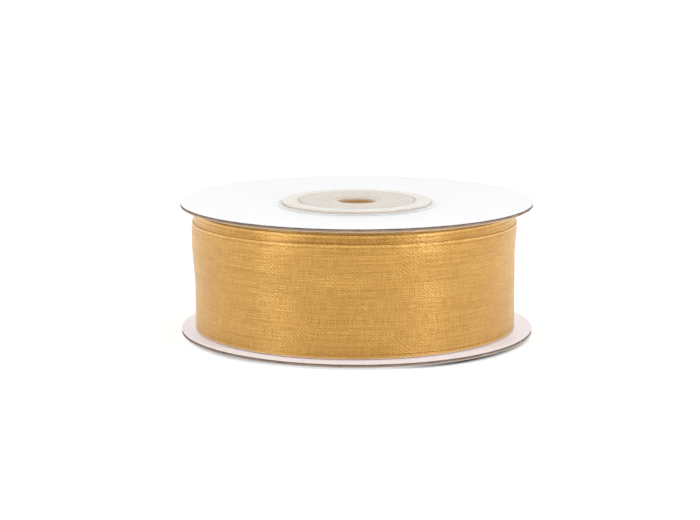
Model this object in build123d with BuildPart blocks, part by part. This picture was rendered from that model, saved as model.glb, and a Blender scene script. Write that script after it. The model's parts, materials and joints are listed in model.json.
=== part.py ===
"""Ribbon spool: a wide sheer ribbon wound on a card tube between two card discs.

Two moulded plugs are pressed into the ends of the tube and hold the discs under their lips.
+Z is the axis of the spool. The origin lies on the floor under the middle of the lower plug,
whose raised ring carries the standing spool. All sizes are in millimetres.
"""
import os
from math import cos, degrees, radians, sin

from build123d import *

os.makedirs("parts", exist_ok=True)

# Card discs: grey board with a sheet of white paper glued to each face
disc_radius = 56.5
disc_hole_radius = 20.3
paper = 0.1
board = 0.9
disc = board + 2 * paper
top_disc_dish = 1.2        # the rim of the top disc has curled up and away from the ribbon
bottom_disc_dish = 0.2     # the rim of the bottom disc sags a little towards the floor
disc_flat_radius = 26.0    # up to here the lips of the plugs keep the discs flat

# Hub plugs
bore_radius = 6.4
bore_recess_radius = 8.0
bore_recess_depth = 0.25
groove_radius = 18.6
groove_width = 0.4
groove_depth = 0.3
spigot_radius = 20.0
spigot_wall = 1.0
spigot_depth = 10.0        # how far a spigot reaches into the tube
ring_radius = 23.7
ring_rise = 1.2            # from the face of the disc to the top of the raised ring
lip_radius = 25.2
lip = 0.4
plate = 1.2

# Tube
tube_wall = 2.2
tube_radius = spigot_radius + tube_wall
tube_length = 38.2
disc_play = 0.1            # slack on each face of a disc, so that it turns between lip and tube

# Ribbon and the tapes that hold its two ends
ribbon_width = 35.0
ribbon_wander = 2.6        # turns lie up to this much higher than the lowest ones
ribbon_floor_gap = 0.3
roll_inner_radius = tube_radius + 0.2
roll_outer_radius = 50.9
roll_shoulder = 0.8
turn_radius = 51.3
turn_pitch = 0.3
turn_thickness = 0.2
tail_angle = 128           # the cut end of the ribbon is on the far side
tail_overlap = 24
tape_thickness = 0.1
start_tape_width = 19.0
start_tape_height = 25.0
end_tape_width = 25.0
end_tape_height = 19.0

# Heights up the axis, from the floor
bottom_lip_z = ring_rise
bottom_disc_z = bottom_lip_z + disc_play
tube_z = bottom_disc_z + disc + disc_play
top_disc_z = tube_z + tube_length + disc_play
top_lip_z = top_disc_z + disc + disc_play
ribbon_z = bottom_disc_z + disc + ribbon_floor_gap
ribbon_mid_z = ribbon_z + ribbon_width / 2


def disc_layer(hub_z, thickness, dish):
    """One layer of a card disc: flat round the hub, then curving by the dish out to the rim."""
    with BuildPart() as layer:
        with BuildSketch(Plane.XZ):
            with BuildLine():
                Polyline(
                    (disc_flat_radius, hub_z),
                    (disc_hole_radius, hub_z),
                    (disc_hole_radius, hub_z + thickness),
                    (disc_flat_radius, hub_z + thickness),
                )
                TangentArc(
                    (disc_flat_radius, hub_z + thickness),
                    (disc_radius, hub_z + thickness + dish),
                    tangent=(1, 0),
                )
                Line((disc_radius, hub_z + thickness + dish), (disc_radius, hub_z + dish))
                TangentArc((disc_flat_radius, hub_z), (disc_radius, hub_z + dish), tangent=(1, 0))
            make_face()
        revolve(axis=Axis.Z)
    return layer.part


def hub_plug(lip_z, out):
    """A moulded plug whose lip rests on a disc at lip_z and whose face looks towards out."""
    groove_inner = groove_radius - groove_width / 2
    groove_outer = groove_radius + groove_width / 2
    spigot_end = -(disc + 2 * disc_play + spigot_depth)
    spigot_inner_radius = spigot_radius - spigot_wall
    profile = (
        (bore_radius, ring_rise - plate),
        (bore_radius, ring_rise - bore_recess_depth),
        (bore_recess_radius, ring_rise - bore_recess_depth),
        (bore_recess_radius, ring_rise),
        (groove_inner, ring_rise),
        (groove_inner, ring_rise - groove_depth),
        (groove_outer, ring_rise - groove_depth),
        (groove_outer, ring_rise),
        (ring_radius, ring_rise),
        (ring_radius, lip),
        (lip_radius, lip),
        (lip_radius, 0),
        (spigot_radius, 0),
        (spigot_radius, spigot_end),
        (spigot_inner_radius, spigot_end),
        (spigot_inner_radius, ring_rise - plate),
    )
    with BuildPart() as plug:
        with BuildSketch(Plane.XZ):
            with BuildLine():
                Polyline(*[(radius, lip_z + out * height) for radius, height in profile], close=True)
            make_face()
        revolve(axis=Axis.Z)
        rims = plug.edges().filter_by(GeomType.CIRCLE)
        ring_rim = [edge for edge in rims if abs(edge.radius - ring_radius) < 0.01]
        lip_rim = [edge for edge in rims if abs(edge.radius - lip_radius) < 0.01]
        fillet(ShapeList(ring_rim).sort_by(Axis.Z)[-1 if out > 0 else 0], radius=0.35)
        fillet(ShapeList(lip_rim).sort_by(Axis.Z)[-1 if out > 0 else 0], radius=0.25)
        spigot_tip = [edge for edge in plug.edges().filter_by(GeomType.CIRCLE)
                      if abs(edge.radius - spigot_radius) < 0.01]
        chamfer(ShapeList(spigot_tip).sort_by(Axis.Z)[0 if out > 0 else -1], length=0.5)
    return plug.part


def curved_patch(inner_radius, thickness, width, height, middle_angle, middle_z):
    """A piece of tape that follows a drum, with its middle at the given angle and height."""
    half_angle = degrees(width / 2 / inner_radius)
    with BuildPart() as patch:
        with BuildSketch(Plane.XY.offset(middle_z - height / 2)):
            with BuildLine():
                CenterArc((0, 0), inner_radius, middle_angle - half_angle, 2 * half_angle)
                CenterArc((0, 0), inner_radius + thickness, middle_angle - half_angle, 2 * half_angle)
                for side in (-1, 1):
                    angle = radians(middle_angle + side * half_angle)
                    Line(
                        (inner_radius * cos(angle), inner_radius * sin(angle)),
                        ((inner_radius + thickness) * cos(angle), (inner_radius + thickness) * sin(angle)),
                    )
            make_face()
        extrude(amount=height)
    return patch.part


def spiral(radius, first_angle, last_angle, step=6):
    """Points every few degrees along a spiral that gains one pitch in each turn."""
    count = round((last_angle - first_angle) / step)
    points = []
    for index in range(count + 1):
        turned = index * (last_angle - first_angle) / count
        reach = radius + turn_pitch * turned / 360
        angle = radians(first_angle + turned)
        points.append((reach * cos(angle), reach * sin(angle)))
    return points


# Card discs, three layers each
disc_layers = {
    "bottom_disc_outer_paper": disc_layer(bottom_disc_z, paper, -bottom_disc_dish),
    "bottom_disc_board": disc_layer(bottom_disc_z + paper, board, -bottom_disc_dish),
    "bottom_disc_inner_paper": disc_layer(bottom_disc_z + paper + board, paper, -bottom_disc_dish),
    "top_disc_inner_paper": disc_layer(top_disc_z, paper, top_disc_dish),
    "top_disc_board": disc_layer(top_disc_z + paper, board, top_disc_dish),
    "top_disc_outer_paper": disc_layer(top_disc_z + paper + board, paper, top_disc_dish),
}
for name, layer in disc_layers.items():
    layer.label = name
    export_step(layer, f"parts/{name}.step")

# Hub plugs
bottom_hub_plug = hub_plug(bottom_lip_z, -1)
bottom_hub_plug.label = "bottom_hub_plug"
export_step(bottom_hub_plug, "parts/bottom_hub_plug.step")

top_hub_plug = hub_plug(top_lip_z, 1)
top_hub_plug.label = "top_hub_plug"
export_step(top_hub_plug, "parts/top_hub_plug.step")

# Tube that the ribbon is wound on
with BuildPart() as core_tube:
    with BuildSketch(Plane.XY.offset(tube_z)):
        Circle(tube_radius)
        Circle(spigot_radius, mode=Mode.SUBTRACT)
    extrude(amount=tube_length)
core_tube.part.label = "core_tube"
export_step(core_tube.part, "parts/core_tube.step")

# Wound ribbon: all the covered turns as one body with soft outer shoulders
with BuildPart() as ribbon_roll:
    with BuildSketch(Plane.XY.offset(ribbon_z)):
        Circle(roll_outer_radius)
        Circle(roll_inner_radius, mode=Mode.SUBTRACT)
    extrude(amount=ribbon_width + ribbon_wander)
    roll_rims = ribbon_roll.edges().filter_by(GeomType.CIRCLE).sort_by(SortBy.RADIUS)[-2:]
    fillet(roll_rims, radius=roll_shoulder)
ribbon_roll.part.label = "ribbon_roll"
export_step(ribbon_roll.part, "parts/ribbon_roll.step")

# Last turn of the ribbon, whose cut end overlaps its own start
with BuildPart() as ribbon_outer_turn:
    inner_line = spiral(turn_radius, tail_angle - tail_overlap, tail_angle + 360)
    outer_line = spiral(turn_radius + turn_thickness, tail_angle - tail_overlap, tail_angle + 360)
    with BuildSketch(Plane.XY.offset(ribbon_z)):
        with BuildLine():
            Spline(*inner_line)
            Line(inner_line[-1], outer_line[-1])
            Spline(*outer_line)
            Line(inner_line[0], outer_line[0])
        make_face()
    extrude(amount=ribbon_width)
ribbon_outer_turn.part.label = "ribbon_outer_turn"
export_step(ribbon_outer_turn.part, "parts/ribbon_outer_turn.step")

# Tapes: one sticks the first end of the ribbon to the tube, one holds the last end down
ribbon_start_tape = curved_patch(
    tube_radius, tape_thickness, start_tape_width, start_tape_height, 0, ribbon_mid_z
)
ribbon_start_tape.label = "ribbon_start_tape"
export_step(ribbon_start_tape, "parts/ribbon_start_tape.step")

end_tape_radius = turn_radius + 1.1 * turn_pitch + turn_thickness + 0.05
ribbon_end_tape = curved_patch(
    end_tape_radius, tape_thickness, end_tape_width, end_tape_height, tail_angle, ribbon_mid_z
)
ribbon_end_tape.label = "ribbon_end_tape"
export_step(ribbon_end_tape, "parts/ribbon_end_tape.step")
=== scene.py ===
"""Looks of the ribbon spool: wound gold organza, card discs with raw cut edges, moulded plugs.

Everything is in metres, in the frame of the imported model: +Z up the axis of the spool, the
viewer on the -Y side. Angles run anticlockwise from +X, seen from above.
"""
import json
import math

import bpy
import numpy as np
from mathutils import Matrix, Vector


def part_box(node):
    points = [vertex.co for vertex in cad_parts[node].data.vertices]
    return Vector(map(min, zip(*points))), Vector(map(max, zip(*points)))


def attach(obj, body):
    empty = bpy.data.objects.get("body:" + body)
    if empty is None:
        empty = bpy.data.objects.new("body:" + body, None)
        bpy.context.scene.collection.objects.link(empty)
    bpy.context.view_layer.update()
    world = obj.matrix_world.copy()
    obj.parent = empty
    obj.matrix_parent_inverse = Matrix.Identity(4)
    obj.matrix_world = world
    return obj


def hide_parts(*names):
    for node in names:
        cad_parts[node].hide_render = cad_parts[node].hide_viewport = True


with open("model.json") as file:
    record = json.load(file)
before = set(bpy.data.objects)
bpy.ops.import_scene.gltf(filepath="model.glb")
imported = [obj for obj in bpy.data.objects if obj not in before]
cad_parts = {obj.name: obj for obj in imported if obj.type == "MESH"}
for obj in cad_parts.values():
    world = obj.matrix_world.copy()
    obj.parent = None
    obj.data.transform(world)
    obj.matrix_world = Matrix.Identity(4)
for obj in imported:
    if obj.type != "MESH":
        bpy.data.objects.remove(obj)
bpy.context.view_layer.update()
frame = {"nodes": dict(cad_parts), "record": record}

MM = 0.001


def node_low(node):
    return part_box(node)[0]


def node_high(node):
    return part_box(node)[1]


# Driving sizes, read from the frame
disc_radius = node_high("top_disc_board").x
bottom_disc_top = node_high("bottom_disc_inner_paper").z
ribbon_low = node_low("ribbon_outer_turn").z
ribbon_width = node_high("ribbon_outer_turn").z - ribbon_low
tube_radius = node_high("core_tube").x
spool_height = node_high("top_hub_plug").z

# What the frame doesn't state: the plug's groove and raised ring, the tube's wall, and, in degrees,
# where the tail ends and how far it overlaps
groove_radius = 18.6 * MM
ring_radius = 23.7 * MM
tube_wall = 2.2 * MM
tail_angle = 128
tail_overlap = 24


# ---------------------------------------------------------------- camera, stage and light

def make_camera():
    """A long lens a little above the spool, aimed slightly above and left of its middle."""
    elevation = math.radians(12.16)
    base = Vector((0, 0, bottom_disc_top))
    back = Vector((0, -math.cos(elevation), math.sin(elevation)))
    aim = base + disc_radius * Vector((-0.038, 0.077, 0.359))
    data = bpy.data.cameras.new("camera")
    data.sensor_width = 36
    data.lens = 107.4
    data.clip_start = 0.01
    data.clip_end = 60
    camera = bpy.data.objects.new("camera", data)
    camera.location = base + back * 12 * disc_radius
    camera.rotation_mode = "QUATERNION"
    camera.rotation_quaternion = (aim - camera.location).to_track_quat("-Z", "Y")
    bpy.context.collection.objects.link(camera)
    bpy.context.scene.camera = camera


def make_softbox(name, azimuth, elevation, distance, width, height, power, colour=(1, 1, 1)):
    """A rectangular lamp that faces the middle of the spool. Azimuth 0 is the viewer's side."""
    a = math.radians(azimuth)
    e = math.radians(elevation)
    middle = Vector((0, 0, spool_height / 2))
    back = Vector((math.sin(a) * math.cos(e), -math.cos(a) * math.cos(e), math.sin(e)))
    data = bpy.data.lights.new(name, "AREA")
    data.shape = "RECTANGLE"
    data.size = width
    data.size_y = height
    data.energy = power
    data.color = colour
    lamp = bpy.data.objects.new(name, data)
    lamp.location = middle + back * distance
    lamp.rotation_mode = "QUATERNION"
    lamp.rotation_quaternion = (-back).to_track_quat("-Z", "Y")
    bpy.context.collection.objects.link(lamp)


def make_room(brightness, behind_camera, low_down, ceiling):
    """White studio walls all round: darker behind the camera, brighter low down than overhead."""
    world = bpy.data.worlds.new("world")
    world.use_nodes = True
    tree = world.node_tree
    split = tree.nodes.new("ShaderNodeSeparateXYZ")
    tree.links.new(tree.nodes.new("ShaderNodeTexCoord").outputs["Generated"], split.inputs[0])
    shade = tree.nodes.new("ShaderNodeMapRange")
    shade.interpolation_type = "SMOOTHSTEP"
    for socket, value in zip(shade.inputs[1:5], (-0.95, -0.35, behind_camera, brightness)):
        socket.default_value = value
    tree.links.new(split.outputs["Y"], shade.inputs[0])
    lift = tree.nodes.new("ShaderNodeMapRange")
    lift.interpolation_type = "SMOOTHSTEP"
    for socket, value in zip(lift.inputs[1:5], (0.1, 0.6, low_down, ceiling)):
        socket.default_value = value
    tree.links.new(split.outputs["Z"], lift.inputs[0])
    strength = tree.nodes.new("ShaderNodeMath")
    strength.operation = "MULTIPLY"
    tree.links.new(shade.outputs[0], strength.inputs[0])
    tree.links.new(lift.outputs[0], strength.inputs[1])
    background = tree.nodes["Background"]
    background.inputs["Color"].default_value = (1, 1, 1, 1)
    tree.links.new(strength.outputs[0], background.inputs["Strength"])
    bpy.context.scene.world = world


# ---------------------------------------------------------------- node helpers

class Shader:
    """A material with a Principled shader and short calls for the nodes that feed it."""

    def __init__(self, name):
        self.material = bpy.data.materials.new(name)
        self.material.use_nodes = True
        self.tree = self.material.node_tree
        self.principled = self.tree.nodes["Principled BSDF"]

    def add(self, kind, **settings):
        node = self.tree.nodes.new(kind)
        for key, value in settings.items():
            setattr(node, key, value)
        return node

    def plug(self, value, socket):
        if isinstance(value, bpy.types.NodeSocket):
            self.tree.links.new(value, socket)
        else:
            socket.default_value = value

    def set(self, **values):
        """Plain numbers and colours on the Principled shader's own sockets."""
        names = {
            "colour": "Base Color", "roughness": "Roughness", "specular": "Specular IOR Level",
            "sheen": "Sheen Weight", "sheen_roughness": "Sheen Roughness",
            "sheen_tint": "Sheen Tint", "subsurface": "Subsurface Weight",
            "subsurface_radius": "Subsurface Radius", "subsurface_scale": "Subsurface Scale",
            "metallic": "Metallic", "alpha": "Alpha", "normal": "Normal",
            "specular_tint": "Specular Tint",
        }
        for key, value in values.items():
            self.plug(value, self.principled.inputs[names[key]])

    def math(self, operation, a, b=0.0):
        node = self.add("ShaderNodeMath", operation=operation)
        self.plug(a, node.inputs[0])
        self.plug(b, node.inputs[1])
        return node.outputs[0]

    def from_axis(self, x, y):
        """Distance from the spool's axis."""
        return self.math("SQRT", self.math("ADD", self.math("MULTIPLY", x, x), self.math("MULTIPLY", y, y)))

    def attribute(self, name):
        return self.add("ShaderNodeAttribute", attribute_name=name).outputs["Fac"]

    def position(self):
        """Object space, which is the frame's own, as three sockets."""
        place = self.add("ShaderNodeTexCoord").outputs["Object"]
        split = self.add("ShaderNodeSeparateXYZ")
        self.plug(place, split.inputs[0])
        return split.outputs

    def combine(self, x, y, z=0.0):
        node = self.add("ShaderNodeCombineXYZ")
        for value, socket in zip((x, y, z), node.inputs):
            self.plug(value, socket)
        return node.outputs[0]

    def noise(self, where, scale=1.0, detail=2.0, roughness=0.5):
        node = self.add("ShaderNodeTexNoise")
        self.plug(where, node.inputs["Vector"])
        self.plug(scale, node.inputs["Scale"])
        self.plug(detail, node.inputs["Detail"])
        self.plug(roughness, node.inputs["Roughness"])
        return node.outputs["Fac"]

    def ramp(self, value, low, high, to_low=0.0, to_high=1.0, smooth=True):
        node = self.add("ShaderNodeMapRange", interpolation_type="SMOOTHSTEP" if smooth else "LINEAR")
        for part, socket in zip((value, low, high, to_low, to_high), node.inputs):
            self.plug(part, socket)
        return node.outputs[0]

    def mix(self, amount, a, b):
        node = self.add("ShaderNodeMix", data_type="RGBA")
        self.plug(amount, node.inputs["Factor"])
        self.plug(a, node.inputs[6])
        self.plug(b, node.inputs[7])
        return node.outputs[2]

    def bump(self, height, distance, strength=1.0):
        node = self.add("ShaderNodeBump")
        self.plug(height, node.inputs["Height"])
        self.plug(distance, node.inputs["Distance"])
        self.plug(strength, node.inputs["Strength"])
        return node.outputs[0]


def rgb(red, green, blue):
    """A colour as it is seen on a screen, 0 to 255, in the linear values that shaders use."""
    def linear(value):
        value /= 255
        return value / 12.92 if value <= 0.04045 else ((value + 0.055) / 1.055) ** 2.4
    return (linear(red), linear(green), linear(blue), 1.0)


# ---------------------------------------------------------------- materials

def organza():
    """Sheer gold weave: crossing threads, long streaks and moire, with sparks painted pale as glints."""
    s = Shader("organza")
    along = s.math("MULTIPLY", s.attribute("along"), 1 / MM)
    across = s.math("MULTIPLY", s.attribute("across"), 1 / MM)
    width = ribbon_width / MM

    def stretched(along_scale, across_scale, seed=0.0, detail=1.0):
        place = s.combine(s.math("MULTIPLY", along, along_scale),
                          s.math("MULTIPLY", across, across_scale), seed)
        return s.math("SUBTRACT", s.noise(place, detail=detail), 0.5)

    long_streak = stretched(0.03, 3.4, 0.0, 2)
    weft = stretched(0.16, 4.2, 1.0)
    warp = stretched(2.4, 0.22, 2.0)
    grain = stretched(2.9, 3.1, 3.0)
    mottle = stretched(0.07, 0.11, 4.0, 3)

    # Sparks sit on single thread crossings, more of them where the streaks and the mottle are pale
    cell_along, cell_across = 0.44, 0.31
    crossing = s.add("ShaderNodeTexWhiteNoise", noise_dimensions="2D")
    s.plug(s.combine(s.math("FLOOR", s.math("MULTIPLY", along, 1 / cell_along)),
                     s.math("FLOOR", s.math("MULTIPLY", across, 1 / cell_across))),
           crossing.inputs["Vector"])
    spark = s.math("ADD", crossing.outputs["Value"], s.math("MULTIPLY", long_streak, 0.7))
    spark = s.math("ADD", spark, s.math("MULTIPLY", mottle, 0.2))

    # Two layers of the weave a little askew: a fine lattice all over, diagonal lines in patches
    lattice_along, lattice_across, moire_pitch = 0.80, 0.72, 1.15
    lattice = s.math("MULTIPLY", s.math("SINE", s.math("MULTIPLY", along, math.tau / lattice_along)),
                     s.math("SINE", s.math("MULTIPLY", across, math.tau / lattice_across)))
    lean = s.math("ADD", s.math("MULTIPLY", along, 0.78), s.math("MULTIPLY", across, 0.95))
    lean = s.math("ADD", lean, s.math("MULTIPLY", mottle, 1.6))
    moire = s.math("SINE", s.math("MULTIPLY", lean, math.tau / moire_pitch))
    moire = s.math("MULTIPLY", moire, s.ramp(mottle, -0.02, 0.08))

    # Selvages: a pale dense line just inside each edge, partly the selvage's own weave and partly a painted
    # highlight, with a darker line on its inner side; the outermost rim is painted shade
    from_edge = s.math("MINIMUM", across, s.math("SUBTRACT", width, across))
    rim = s.ramp(from_edge, 0.05, 0.35, 1.0, 0.0)
    edge = s.math("MULTIPLY", s.ramp(from_edge, 0.1, 0.4), s.ramp(from_edge, 0.75, 1.05, 1.0, 0.0))
    edge = s.math("MULTIPLY", edge, s.ramp(across, 1.5, 3.0, 0.4, 1.0))
    line = s.math("MULTIPLY", s.ramp(from_edge, 0.95, 1.15), s.ramp(from_edge, 1.3, 1.6, 1.0, 0.0))

    # The shade attribute darkens the turn before just above the last turn's edge: painted shade
    tone = 0.5
    for part, weight in ((long_streak, 0.7), (weft, 0.5), (warp, 0.48), (grain, 0.52), (mottle, 0.22),
                         (lattice, 0.05), (moire, 0.11), (edge, 0.13), (rim, -0.4), (line, -0.16),
                         (s.attribute("shade"), -0.3)):
        tone = s.math("ADD", tone, s.math("MULTIPLY", part, weight))
    colour = s.mix(s.ramp(tone, 0.1, 0.95, smooth=False), rgb(140, 96, 33), rgb(207, 161, 88))
    # Painted glints: sparks and selvage lines get a painted pale gold colour, and are also a little more
    # metallic and glossy
    glint = s.ramp(s.math("ADD", spark, s.math("MULTIPLY", edge, 0.24)), 0.92, 1.16)
    colour = s.mix(s.math("MULTIPLY", glint, 0.32), colour, rgb(255, 226, 150))
    # Painted bounce light: the lowest part of the ribbon is painted pale pink, as if lit from the lower
    # disc
    painted_bounce_light = s.ramp(across, 0.1, 0.6, 0.6, 0.0)
    colour = s.mix(painted_bounce_light, colour, rgb(226, 196, 170))

    threads = 0.0
    for part, weight in ((long_streak, 0.9), (weft, 1.1), (warp, 0.5), (grain, 0.5), (lattice, 0.12),
                         (moire, 0.14)):
        threads = s.math("ADD", threads, s.math("MULTIPLY", part, weight))
    s.set(colour=colour, normal=s.bump(threads, 0.07 * MM, 1.0),
          metallic=s.ramp(glint, 0.0, 1.0, 0.18, 0.24, smooth=False),
          roughness=s.ramp(glint, 0.0, 1.0, 0.30, 0.25, smooth=False),
          specular=0.42, specular_tint=rgb(255, 236, 190),
          sheen=0.22, sheen_roughness=0.3, sheen_tint=rgb(255, 204, 112))
    return s.material


def white_paper():
    """Coated white liner with a very faint fibre and calender mottle."""
    s = Shader("white_paper")
    x, y, z = s.position()
    place = s.combine(x, y, z)
    fibre = s.noise(place, scale=1400, detail=4, roughness=0.6)
    cloud = s.noise(place, scale=60, detail=3)
    tone = s.math("ADD", s.math("MULTIPLY", fibre, 0.5), s.math("MULTIPLY", cloud, 0.5))
    colour = s.mix(tone, rgb(236, 236, 237), rgb(244, 244, 245))
    radius = s.from_axis(x, y)
    cut_edge = s.ramp(radius, disc_radius - 0.08 * MM, disc_radius - 0.02 * MM)
    colour = s.mix(cut_edge, colour, rgb(186, 176, 168))
    # Painted light: all the white paper glows faintly, and the upper face of the lower disc glows more, in
    # lilac, in place of the light that the floor throws up
    lower_face_glow = s.math("MULTIPLY", s.ramp(z, bottom_disc_top - 0.8 * MM, bottom_disc_top - 0.5 * MM),
                        s.ramp(z, bottom_disc_top + 1.1 * MM, bottom_disc_top + 3.6 * MM, 1.0, 0.0))
    s.plug(s.mix(lower_face_glow, rgb(250, 250, 255), rgb(234, 220, 252)), s.principled.inputs["Emission Color"])
    s.plug(s.ramp(lower_face_glow, 0.0, 1.0, 0.08, 0.15), s.principled.inputs["Emission Strength"])
    s.set(colour=colour, roughness=s.ramp(fibre, 0.3, 0.7, 0.42, 0.56), specular=0.4,
          normal=s.bump(fibre, 0.02 * MM, 0.4))
    return s.material


def grey_board():
    """Raw cut edge of grey board: pulp layers that run round the disc, darker where the die bit."""
    s = Shader("grey_board")
    x, y, z = s.position()
    level = s.attribute("level")
    layers = s.noise(s.combine(s.math("MULTIPLY", x, 260), s.math("MULTIPLY", y, 260),
                               s.math("MULTIPLY", z, 7000)), detail=3, roughness=0.65)
    specks = s.noise(s.combine(x, y, z), scale=2600, detail=2)
    tone = s.math("ADD", s.math("MULTIPLY", layers, 0.75), s.math("MULTIPLY", specks, 0.25))
    bitten = s.math("ADD", s.ramp(level, 0.62, 0.85), s.ramp(level, 0.25, 0.05))
    tone = s.math("SUBTRACT", tone, s.math("MULTIPLY", bitten, 0.22))
    colour = s.mix(s.ramp(tone, 0.25, 0.65), rgb(72, 60, 53), rgb(148, 130, 118))
    # The lower part of the edge is painted paler, as painted bounce light: warm from the ribbon on the top
    # disc, grey from the floor
    lit_below = s.mix(s.ramp(z, 20 * MM, 30 * MM), rgb(190, 178, 168), rgb(206, 168, 124))
    colour = s.mix(s.ramp(level, 0.08, 0.40, 0.5, 0.0), colour, lit_below)
    s.set(colour=colour, roughness=0.9, specular=0.15,
          normal=s.bump(tone, 0.12 * MM, 0.8))
    return s.material


def plug_plastic():
    """Off-white moulding, with painted shade over the hollow, in the groove and on the ring's wall, and a
    painted warm glow just inside the tube's wall.
    """
    s = Shader("plug_plastic")
    x, y, z = s.position()
    radius = s.from_axis(x, y)
    # Painted shade: the plug is darker inside the groove, where the dark hollow shows through the thin
    # plastic
    over_card = s.ramp(radius, groove_radius - 0.2 * MM, groove_radius + 1.9 * MM)
    grain = s.noise(s.combine(x, y, z), scale=900, detail=3)
    cloud = s.noise(s.combine(x, y, z), scale=90, detail=2)
    colour = s.mix(over_card, rgb(209, 201, 190), rgb(234, 229, 220))
    colour = s.mix(s.math("MULTIPLY", cloud, 0.25), colour, rgb(214, 206, 195))
    # Painted shade in the groove round the middle disc
    groove = s.math("MULTIPLY", s.ramp(radius, groove_radius - 0.4 * MM, groove_radius - 0.2 * MM),
                    s.ramp(radius, groove_radius + 0.1 * MM, groove_radius + 0.3 * MM, 1.0, 0.0))
    colour = s.mix(groove, colour, rgb(194, 185, 172))
    # Painted shade on the outer wall of the raised ring
    wall = s.math("MULTIPLY", s.ramp(radius, ring_radius - 0.3 * MM, ring_radius - 0.1 * MM),
                  s.ramp(radius, ring_radius + 0.1 * MM, ring_radius + 0.5 * MM, 1.0, 0.0))
    colour = s.mix(wall, colour, rgb(206, 196, 184))
    lip = s.ramp(radius, ring_radius + 0.3 * MM, ring_radius + 0.7 * MM)
    colour = s.mix(lip, colour, rgb(238, 235, 229))
    # Painted glow: the plastic just inside the tube's wall, up to the ends of the plugs, is painted warm
    # and glows, in place of light coming through the thin plastic
    inside = s.math("SUBTRACT", tube_radius - tube_wall + 0.1 * MM, radius)
    painted_glow_over_tube = s.math("MULTIPLY", s.ramp(inside, 0.2 * MM, 0.4 * MM),
                       s.ramp(inside, 1.6 * MM, 1.4 * MM, 0.0, 1.0))
    from_middle = s.math("ABSOLUTE", s.math("SUBTRACT", z, spool_height / 2))
    within = s.ramp(from_middle, spool_height / 2 - 1.0 * MM, spool_height / 2 - 0.8 * MM, 1.0, 0.0)
    painted_glow_over_tube = s.math("MULTIPLY", painted_glow_over_tube, within)
    colour = s.mix(painted_glow_over_tube, colour, rgb(222, 184, 132))
    s.plug(rgb(214, 182, 134), s.principled.inputs["Emission Color"])
    s.plug(s.math("MULTIPLY", painted_glow_over_tube, 0.36), s.principled.inputs["Emission Strength"])
    s.set(colour=colour, roughness=s.ramp(grain, 0.3, 0.7, 0.36, 0.5), specular=0.45,
          subsurface=1.0, subsurface_radius=(1.0, 0.92, 0.8), subsurface_scale=2.5 * MM,
          normal=s.bump(grain, 0.02 * MM, 0.5))
    return s.material


def brown_tube():
    """Wound brown paper: a helical seam, long fibres and small dark specks."""
    s = Shader("brown_tube")
    x, y, z = s.position()
    turn = s.math("ARCTAN2", y, x)
    seam_pitch = 30 * MM
    climb = s.math("MULTIPLY", z, 1 / seam_pitch)
    strip = s.math("FRACT", s.math("ADD", s.math("MULTIPLY", turn, 1 / math.tau), climb))
    seam = s.math("ADD", s.ramp(strip, 0.0, 0.02, 1.0, 0.0), s.ramp(strip, 0.98, 1.0))
    fibre = s.noise(s.combine(s.math("MULTIPLY", x, 900), s.math("MULTIPLY", y, 900),
                              s.math("MULTIPLY", z, 2600)), detail=4, roughness=0.6)
    colour = s.mix(s.ramp(fibre, 0.3, 0.7), rgb(160, 122, 78), rgb(205, 168, 118))
    colour = s.mix(s.math("MULTIPLY", seam, 0.5), colour, rgb(110, 78, 48))
    height = s.math("SUBTRACT", fibre, seam)
    s.set(colour=colour, roughness=0.8, specular=0.2, normal=s.bump(height, 0.1 * MM, 0.6))
    return s.material


def paper_tape():
    """Cream creped tape: fine ridges across its length."""
    s = Shader("paper_tape")
    x, y, z = s.position()
    crepe = s.noise(s.combine(s.math("MULTIPLY", y, 2400), s.math("MULTIPLY", z, 500), x), detail=3)
    colour = s.mix(s.ramp(crepe, 0.3, 0.7), rgb(214, 198, 160), rgb(236, 224, 192))
    s.set(colour=colour, roughness=0.75, normal=s.bump(crepe, 0.1 * MM, 0.8))
    return s.material


def clear_tape():
    """Clear film with faint stretch lines, glossy enough to show where it lies."""
    s = Shader("clear_tape")
    x, y, z = s.position()
    lines = s.noise(s.combine(s.math("MULTIPLY", x, 120), s.math("MULTIPLY", y, 120),
                              s.math("MULTIPLY", z, 2200)), detail=2)
    colour = s.mix(lines, rgb(240, 236, 222), rgb(252, 250, 244))
    s.set(colour=colour, roughness=s.ramp(lines, 0.3, 0.7, 0.1, 0.22), specular=0.6, alpha=0.16,
          normal=s.bump(lines, 0.03 * MM, 0.5))
    return s.material


def stage_white():
    """Pale seamless floor that a bright studio washes out, with a painted shadow under the disc."""
    s = Shader("stage_white")
    x, y, z = s.position()
    tone = s.noise(s.combine(x, y, z), scale=3, detail=2)
    white = s.mix(tone, rgb(251, 251, 251), rgb(253, 253, 253))
    s.principled.inputs["Emission Color"].default_value = (1, 1, 1, 1)
    away = s.from_axis(x, y)
    # Painted shadow under the disc's rim, darkest on the right, weaker on the left and in front; the floor
    # also glows less there
    beneath = s.ramp(away, disc_radius - 3.5 * MM, disc_radius + 1.1 * MM, 1.0, 0.0)
    unlit = s.math("ADD", s.ramp(x, 8 * MM, 34 * MM, 0.2, 1.0), s.ramp(x, -45 * MM, -20 * MM, 0.3, 0.0))
    shadow = s.math("MULTIPLY", beneath, unlit)
    s.set(colour=s.mix(shadow, white, rgb(30, 24, 21)), roughness=0.9, specular=0.1)
    glow = s.math("MULTIPLY", s.ramp(away, 60 * MM, 500 * MM, 0.3, 0.6), s.math("SUBTRACT", 1.0, shadow))
    s.plug(glow, s.principled.inputs["Emission Strength"])
    # One-sided, so that the underside of the spool shows from below
    from_above = s.math("SUBTRACT", 1.0, s.add("ShaderNodeNewGeometry").outputs["Backfacing"])
    s.set(alpha=from_above)
    return s.material


# ---------------------------------------------------------------- mesh helpers

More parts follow.
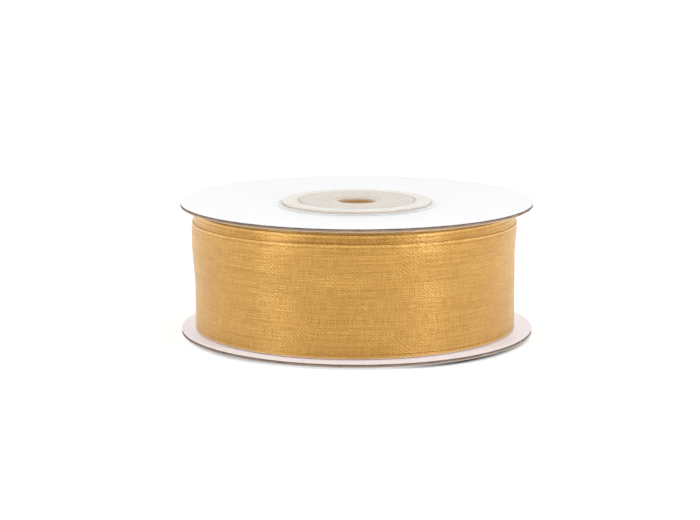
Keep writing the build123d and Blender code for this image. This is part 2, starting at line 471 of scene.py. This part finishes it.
def make_object(name, vertices, faces, material, attributes=()):
    """A smooth-shaded mesh object, with one number per vertex for each named attribute."""
    mesh = bpy.data.meshes.new(name)
    mesh.from_pydata([tuple(v) for v in vertices], [], faces)
    mesh.materials.append(material)
    for key, values in attributes:
        layer = mesh.attributes.new(key, "FLOAT", "POINT")
        layer.data.foreach_set("value", np.asarray(values, dtype=np.float32))
    mesh.shade_smooth()
    mesh.validate()
    thing = bpy.data.objects.new(name, mesh)
    bpy.context.collection.objects.link(thing)
    return thing


def smoothstep(low, high, value):
    t = np.clip((value - low) / (high - low), 0, 1)
    return t * t * (3 - 2 * t)


def wander(turned, seed):
    """A slow, repeatable wobble between -1 and 1 along the winding, in degrees turned."""
    t = np.radians(turned)
    return (np.sin(0.83 * t + seed) + np.sin(0.37 * t + 2.1 * seed) + np.sin(1.71 * t + 0.7 * seed)) / 3


def strip(name, turned, rows, place, thickness, material, shade=None):
    """A closed thin strip. place(turned, across) gives the middle of the strip as three arrays;
    turned is the angle wound so far in degrees and across runs from 0 to the ribbon's width."""
    across = np.asarray(rows)
    grid_t, grid_a = np.meshgrid(turned, across, indexing="ij")
    x, y, z = place(grid_t, grid_a)
    middle = np.stack([x, y, z], axis=-1)
    radial = np.stack([x, y, np.zeros_like(x)], axis=-1)
    radial /= np.linalg.norm(radial, axis=-1, keepdims=True)
    half = thickness(grid_t, grid_a)[..., None] / 2
    outer = middle + radial * half
    inner = (middle - radial * half)[:, ::-1]
    loop = np.concatenate([outer, inner], axis=1)
    stations, count = loop.shape[0], loop.shape[1]

    steps = np.linalg.norm(np.diff(middle[:, len(across) // 2], axis=0), axis=1)
    length = np.concatenate([[0], np.cumsum(steps)])
    along = np.repeat(length, count)
    across_loop = np.tile(np.concatenate([across, across[::-1]]), stations)

    faces = []
    for i in range(stations - 1):
        for j in range(count):
            k = (j + 1) % count
            a, b = i * count + j, i * count + k
            c, d = (i + 1) * count + k, (i + 1) * count + j
            faces.append((a, d, c, b))
    last = (stations - 1) * count
    for j in range(len(across) - 1):
        k = count - 1 - j
        faces.append((j, j + 1, k - 1, k))
        faces.append((last + j, last + k, last + k - 1, last + j + 1))
    vertices = loop.reshape(-1, 3)
    attributes = [("along", along), ("across", across_loop)]
    if shade:
        shaded = shade(grid_t, grid_a)
        attributes.append(("shade", np.concatenate([shaded, shaded[:, ::-1]], axis=1).ravel()))
    piece = make_object(name, vertices, faces, material, attributes)
    return piece, float(length[-1])


# ---------------------------------------------------------------- ribbon

thickness = 0.11 * MM
outer_base = 51.28 * MM
outer_pitch = 0.18 * MM
under_lift = 2.7 * MM
wound_inner = tube_radius + 0.35 * MM
wound_outer = 50.55 * MM
wound_turns = 106
roll_shift = -0.62 * MM
tape_width = 25 * MM
tape_height = 19 * MM
tape_thickness = 0.1 * MM


def flare(angle, height):
    """How far the roll bulges at a height: fatter at the top, and from lower down on the left."""
    level = (height - ribbon_low) / ribbon_width
    start = 0.5 + 0.15 * np.cos(angle)
    return 0.95 * MM * smoothstep(start, start + 0.45, level)


def ripple(angle, height):
    """Gentle unevenness of a soft roll."""
    waves = np.sin(3 * angle + 1.1) * np.sin(90 * height + 0.4)
    waves += 0.7 * np.sin(7 * angle + 2.7 + 60 * height)
    waves += 0.4 * np.sin(13 * angle + 0.3 - 110 * height)
    return 0.05 * MM * waves


def selvage_thickness(turned, across):
    """The woven edges are a little thicker than the sheer middle."""
    from_edge = np.minimum(across, ribbon_width - across)
    return thickness * (1 + 0.7 * np.exp(-((from_edge - 0.5 * MM) / (0.4 * MM)) ** 2))


def wound_since_start(turned):
    return turned - (tail_angle - tail_overlap)


def roll_radius(turned, height):
    """The outside of the roll: one even spiral that flares, ripples and rounds in at the top."""
    angle = np.radians(turned)
    level = (height - ribbon_low) / ribbon_width
    rounding = 0.40 * smoothstep(0.90, 1.02, level) + 0.45 * smoothstep(1.0, 1.08, level)
    radius = outer_base + outer_pitch * wound_since_start(turned) / 360
    return radius + flare(angle, height) + ripple(angle, height) - rounding * MM


def outer_height(turned, across):
    """The last turn climbs down from the turn before and ends low against the bottom disc."""
    angle = np.radians(turned)
    lift = under_lift * (1 - smoothstep(0, 60, wound_since_start(turned)))
    edge_wave = 0.10 * MM * wander(4.1 * turned, 1.3) * smoothstep(0.85, 1.0, across / ribbon_width)
    squat = 1 - 0.018 * np.cos(angle) ** 2
    hug = 0.22 * MM * (1 - smoothstep(0, 0.3, across / ribbon_width))
    return ribbon_low + across * squat + lift + edge_wave - hug


def outer_place(turned, across):
    angle = np.radians(turned)
    height = outer_height(turned, across)
    radius = roll_radius(turned, height)
    return radius * np.cos(angle) + roll_shift, radius * np.sin(angle), height


def under_place(turned, across):
    """The turn before the last, which stands higher."""
    angle = np.radians(turned)
    wave = 0.12 * MM * wander(3.3 * turned, 0.4) * smoothstep(0.85, 1.0, across / ribbon_width)
    height = ribbon_low + under_lift + across + wave
    radius = roll_radius(turned, height)
    return radius * np.cos(angle) + roll_shift, radius * np.sin(angle), height


def under_shade(turned, across):
    """How close a spot on the turn before lies above the edge of the last turn, as painted shade that
    darkens it there.
    """
    above = under_place(turned, across)[2] - outer_height(turned + 360, ribbon_width)
    facing = np.clip(-np.sin(np.radians(turned)), 0.3, 1)
    return facing * np.exp(-((above - 0.5 * MM) / (0.45 * MM)) ** 2)


def wound_place(turned, across):
    """All the turns beneath, each at its own height between the discs."""
    angle = np.radians(turned)
    share = turned / (360 * wound_turns)
    radius = wound_inner + (wound_outer - wound_inner) * share
    lift = under_lift * 0.5 * (1 + wander(turned * 0.43, 2.2))
    near_top = under_lift + 0.7 * MM + 0.2 * MM * wander(turned, 0.9)
    lift = lift + (near_top - lift) * smoothstep(0.93, 0.97, share)
    shift = roll_shift * share
    return radius * np.cos(angle) + shift, radius * np.sin(angle), ribbon_low + lift + across


def edge_rows(middle_count):
    """Rows across the ribbon: close together at both selvages, even between them."""
    edge = np.array([0, 0.12, 0.3, 0.55, 0.85, 1.2, 1.7, 2.4]) * MM
    middle = np.linspace(3.2 * MM, ribbon_width - 3.2 * MM, middle_count)
    return np.concatenate([edge, middle, (ribbon_width - edge)[::-1]])


def tape_place(turned, across):
    """Clear film over the tail end, stepping down from the last turn onto the one beneath it."""
    angle = np.radians(turned)
    height = ribbon_low + ribbon_width / 2 + across - tape_height / 2
    step_down = smoothstep(tail_angle + 0.1, tail_angle + 1.4, turned)
    radius = roll_radius(turned + 360, height) - outer_pitch * step_down
    radius += (thickness + tape_thickness) / 2 + 0.03 * MM
    return radius * np.cos(angle) + roll_shift, radius * np.sin(angle), height


def make_end_tape(material):
    half_angle = math.degrees(tape_width / 2 / (outer_base + 0.5 * MM))
    angles = np.linspace(tail_angle - half_angle, tail_angle + half_angle, 61)
    film, _ = strip("ribbon_end_tape_film", angles, np.linspace(0, tape_height, 25), tape_place,
                    lambda turned, across: np.full_like(across, tape_thickness), material)
    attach(film, "reel")
    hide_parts("ribbon_end_tape")


def make_ribbon(material):
    outer_angles = np.linspace(tail_angle - tail_overlap, tail_angle + 360, 513)
    outer, outer_length = strip("ribbon_last_turn", outer_angles, edge_rows(34), outer_place,
                                selvage_thickness, material)
    under_angles = np.linspace(tail_angle - tail_overlap - 371, tail_angle - tail_overlap - 1, 361)
    under, under_length = strip("ribbon_turn_before", under_angles, edge_rows(26), under_place,
                                selvage_thickness, material, under_shade)
    wound_angles = np.linspace(0, 360 * wound_turns, wound_turns * 60 + 1)
    wound, wound_length = strip("ribbon_wound_turns", wound_angles,
                                np.array([0, 0.02, 0.5, 0.98, 1]) * ribbon_width, wound_place,
                                lambda t, a: np.full_like(a, thickness), material)
    for piece, length in ((outer, outer_length), (under, under_length), (wound, wound_length)):
        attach(piece, "reel")
    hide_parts("ribbon_outer_turn")
    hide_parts("ribbon_roll")


# ---------------------------------------------------------------- card boards

board_thickness = 0.9 * MM
board_hole_radius = 20.3 * MM
board_flat_radius = 26 * MM


def make_board(node, body, nicks, seed, material):
    """The board core of a disc, in place of the smooth one, with a rough rim as a die leaves it.
    nicks are (angle, half width in degrees, depth); a negative depth is a burr."""
    low, high = node_low(node).z, node_high(node).z
    dish = high - low - board_thickness
    if body == "bottom_disc":
        low, dish = low + dish, -dish
    segments = 900
    angles = np.arange(segments) * 360 / segments
    levels = np.array([0.0, 0.08, 0.22, 0.4, 0.6, 0.78, 0.92, 1.0])
    rough = np.random.default_rng(seed).normal(size=(segments, len(levels)))
    rough = (rough + np.roll(rough, 1, axis=0) + 0.6 * np.roll(rough, 2, axis=0)) / 2
    offset = 0.05 * np.sin(np.pi * levels) - 0.03 + 0.028 * rough
    for angle, half_width, depth in nicks:
        away = (angles - angle + 180) % 360 - 180
        offset -= depth * np.exp(-(away / half_width) ** 2)[:, None]
    inner = np.array([board_hole_radius, board_flat_radius, 33 * MM, 40 * MM, 47 * MM, 53 * MM, 56 * MM])
    radii = np.concatenate([np.tile(inner, (segments, 1)), disc_radius + offset * MM,
                            np.tile(inner[::-1], (segments, 1))], axis=1)
    level = np.concatenate([np.zeros(len(inner)), levels, np.ones(len(inner))])
    outward = np.clip((radii - board_flat_radius) / (disc_radius - board_flat_radius), 0, 1)
    height = low + dish * outward ** 2 + level * board_thickness
    turn = np.radians(angles)[:, None]
    points = np.stack([radii * np.cos(turn), radii * np.sin(turn), height], axis=-1)
    count = len(level)
    faces = []
    for i in range(segments):
        a, b = i * count, (i + 1) % segments * count
        for j in range(count):
            k = (j + 1) % count
            faces.append((a + j, b + j, b + k, a + k))
    board = make_object(node + "_cut", points.reshape(-1, 3), faces, material,
                        [("level", np.tile(level, segments))])
    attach(board, body)
    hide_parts(node)


# ---------------------------------------------------------------- build

make_camera()
make_softbox("left_strip", -53, 14, 1.0, 0.12, 0.75, 4.9)
make_softbox("right_strip", 51, 14, 1.0, 0.12, 0.75, 6.0)
make_softbox("overhead", -150, 66, 1.3, 1.1, 1.1, 0.4)
make_room(0.98, 0.12, 1.7, 0.70)
bpy.context.scene.view_settings.view_transform = "Standard"

bpy.ops.mesh.primitive_plane_add(size=16)
floor = bpy.context.object
floor.name = "floor"
floor.location.z = -0.02 * MM
floor.data.materials.append(stage_white())

node_materials = {
    "white_paper": white_paper(),
    "grey_board": grey_board(),
    "plug_plastic": plug_plastic(),
    "brown_tube": brown_tube(),
    "paper_tape": paper_tape(),
    "clear_tape": clear_tape(),
}
for subpart in frame["record"]["subparts"]:
    if subpart["material_slot"] in node_materials:
        shown = frame["nodes"][subpart["node"]]
        for slot in shown.material_slots:
            slot.material = node_materials[subpart["material_slot"]]

make_board("top_disc_board", "top_disc",
           [(299, 0.5, -0.22), (241, 0.4, 0.2), (85, 0.6, 0.25)],
           3, node_materials["grey_board"])
make_board("bottom_disc_board", "bottom_disc",
           [(280, 0.35, 0.3), (265, 1.5, -0.12), (209.5, 0.5, 0.25)],
           4, node_materials["grey_board"])
make_ribbon(organza())
make_end_tape(node_materials["clear_tape"])
